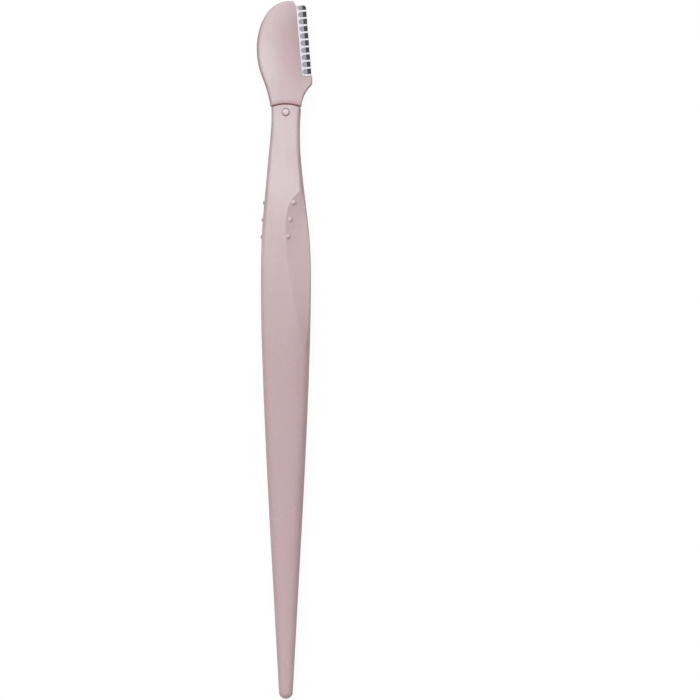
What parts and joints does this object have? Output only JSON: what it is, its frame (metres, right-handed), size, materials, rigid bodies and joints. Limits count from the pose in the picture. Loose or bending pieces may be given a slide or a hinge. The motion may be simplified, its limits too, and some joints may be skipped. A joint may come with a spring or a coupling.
{
  "type": "eyebrow razor",
  "caption": "Slim eyebrow razor: a tapered moulded handle, a plug-in head held by a sprung nub, and a short straight blade under a slotted foil guard.",
  "frame": {"origin": "middle of the flat on the back of the belly, which the razor rests on; level with the widest place of the handle", "axes": "+Y along the razor from tail to head, +X to the side of the cutting edge, +Z out of the front face"},
  "size_m": [0.012, 0.1499, 0.0065],
  "materials": {
    "handle_plastic": "fine satin moulding",
    "head_plastic": "fine satin moulding",
    "tongue_plastic": "fine satin moulding",
    "blade_steel": "ground",
    "guard_foil": "bright satin"
  },
  "bodies": {
    "handle": {"handle": "handle_plastic"},
    "head": {"blade_head": "head_plastic", "blade": "blade_steel", "blade_guard": "guard_foil"},
    "tongue": {"snap_tongue": "tongue_plastic"}
  },
  "joints": [
    {"name": "head_pull", "type": "slide", "parent": "handle", "child": "head", "axis": [0, 1, 0], "range_m": [0, 0.0125], "deforming": ["snap_tongue"]},
    {"name": "nub_press", "type": "hinge", "parent": "head", "child": "tongue", "pos_m": [0, 0.0322, 0.00402], "axis": [-1, 0, 0], "range_deg": [0, 8.3], "stiffness_Nm_per_rad": 0.02}
  ]
}
